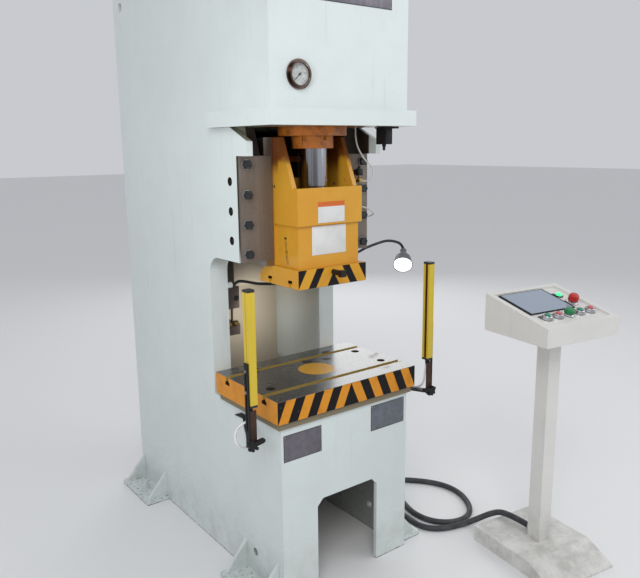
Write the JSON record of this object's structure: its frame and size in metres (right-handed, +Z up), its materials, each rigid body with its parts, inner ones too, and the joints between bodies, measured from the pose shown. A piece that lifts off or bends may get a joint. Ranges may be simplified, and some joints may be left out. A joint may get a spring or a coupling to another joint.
{
  "type": "hydraulic press",
  "caption": "Single-column hydraulic press with T-slotted bolster, guided slide, safety light curtains, work lamp and control console on a stand.",
  "frame": {"origin": "on the floor, under the middle of the box round the press and its console, without the conduit", "axes": "+X to the operator's right, +Y from the front to the back, +Z up"},
  "size_m": [1.3514, 1.8716, 2.45],
  "materials": {
    "mint_white_enamel": "glossy enamel",
    "slide_yellow": "glossy enamel",
    "cylinder_orange": "worn enamel",
    "curtain_yellow": "satin powder coat",
    "ground_steel": "ground",
    "dark_steel": "blackened",
    "hard_chrome": "polished",
    "grey_iron": "painted grey",
    "black_plastic": "satin",
    "brown_primer": "matt primer",
    "tank_beige": "satin enamel",
    "console_white": "satin powder coat",
    "white_nylon": "satin",
    "zinc": "zinc plated",
    "clear_glass": "clear",
    "lamp_glow": "lit diffuser",
    "button_green": "glossy",
    "button_red": "glossy",
    "pilot_green": "lit lens"
  },
  "bodies": {
    "press": {"side_plate_left": "mint_white_enamel", "side_plate_right": "mint_white_enamel", "apron_plate": "mint_white_enamel", "head_shell": "mint_white_enamel", "cylinder_plate": "mint_white_enamel", "rear_cover": "mint_white_enamel", "bed_plate": "mint_white_enamel", "foot_front_left": "mint_white_enamel", "foot_front_right": "mint_white_enamel", "foot_rear_left": "mint_white_enamel", "foot_rear_right": "mint_white_enamel", "bolster_plug": "slide_yellow", "lock_ring": "cylinder_orange", "gland_ring": "cylinder_orange", "curtain_post_left": "curtain_yellow", "curtain_post_right": "curtain_yellow", "bolster": "ground_steel", "gib_front_left": "ground_steel", "gib_front_right": "ground_steel", "gib_side_left": "dark_steel", "gib_side_right": "dark_steel", "gauge_case": "hard_chrome", "cylinder_barrel": "grey_iron", "pump_motor": "grey_iron", "valve_manifold": "grey_iron", "lamp_shade": "grey_iron", "curtain_bar_left": "black_plastic", "curtain_bar_right": "black_plastic", "lamp_arm": "black_plastic", "travel_switch": "black_plastic", "touch_screen": "black_plastic", "conduit": "black_plastic", "conduit_gland": "black_plastic", "curtain_arm_left": "brown_primer", "curtain_arm_right": "brown_primer", "supply_pipe": "brown_primer", "delivery_pipe": "brown_primer", "oil_tank": "tank_beige", "console_base": "console_white", "console_column": "console_white", "console_head": "console_white", "lube_tube_upper": "white_nylon", "lube_tube_lower": "white_nylon", "console_sleeve": "zinc", "gauge_glass": "clear_glass", "lamp_lens": "lamp_glow", "pilot_lamp": "pilot_green"},
    "ram": {"slide_body": "slide_yellow", "slide_plate": "slide_yellow", "shank_bolt": "dark_steel", "piston_rod": "hard_chrome"},
    "start_button": {"button_start": "button_green"},
    "up_button": {"button_up": "button_red"},
    "press_button": {"button_press": "button_green"},
    "down_button": {"button_down": "button_green"},
    "motor_stop_button": {"button_motor_stop": "button_red"},
    "stop_head": {"emergency_stop": "button_red"},
    "left_knob": {"curtain_knob_left": "black_plastic"},
    "right_knob": {"curtain_knob_right": "black_plastic"},
    "pointer": {"gauge_needle": "dark_steel"}
  },
  "joints": [
    {"name": "ram_slide", "type": "slide", "parent": "press", "child": "ram", "axis": [0, 0, 1], "range_m": [-0.28, 0]},
    {"name": "start_push", "type": "slide", "parent": "press", "child": "start_button", "axis": [-0.0305, -0.2254, 0.9738], "range_m": [-0.004, 0], "stiffness_N_per_m": 500, "springref_m": 0.002},
    {"name": "up_push", "type": "slide", "parent": "press", "child": "up_button", "axis": [-0.0305, -0.2254, 0.9738], "range_m": [-0.004, 0], "stiffness_N_per_m": 500, "springref_m": 0.002},
    {"name": "press_push", "type": "slide", "parent": "press", "child": "press_button", "axis": [-0.0305, -0.2254, 0.9738], "range_m": [-0.004, 0], "stiffness_N_per_m": 500, "springref_m": 0.002},
    {"name": "down_push", "type": "slide", "parent": "press", "child": "down_button", "axis": [-0.0305, -0.2254, 0.9738], "range_m": [-0.004, 0], "stiffness_N_per_m": 500, "springref_m": 0.002},
    {"name": "motor_stop_push", "type": "slide", "parent": "press", "child": "motor_stop_button", "axis": [-0.0305, -0.2254, 0.9738], "range_m": [-0.004, 0], "stiffness_N_per_m": 500, "springref_m": 0.002},
    {"name": "stop_push", "type": "slide", "parent": "press", "child": "stop_head", "axis": [-0.0305, -0.2254, 0.9738], "range_m": [-0.006, 0]},
    {"name": "left_knob_turn", "type": "hinge", "parent": "press", "child": "left_knob", "pos_m": [-0.65785, -0.32847, 0.655], "axis": [0, 1, 0], "continuous": true},
    {"name": "right_knob_turn", "type": "hinge", "parent": "press", "child": "right_knob", "pos_m": [0.20275, -0.32847, 0.655], "axis": [0, 1, 0], "continuous": true},
    {"name": "pointer_turn", "type": "hinge", "parent": "press", "child": "pointer", "pos_m": [-0.41455, -0.30377, 1.855], "axis": [0, 1, 0], "range_deg": [0, 270], "stiffness_Nm_per_rad": 0.01}
  ]
}
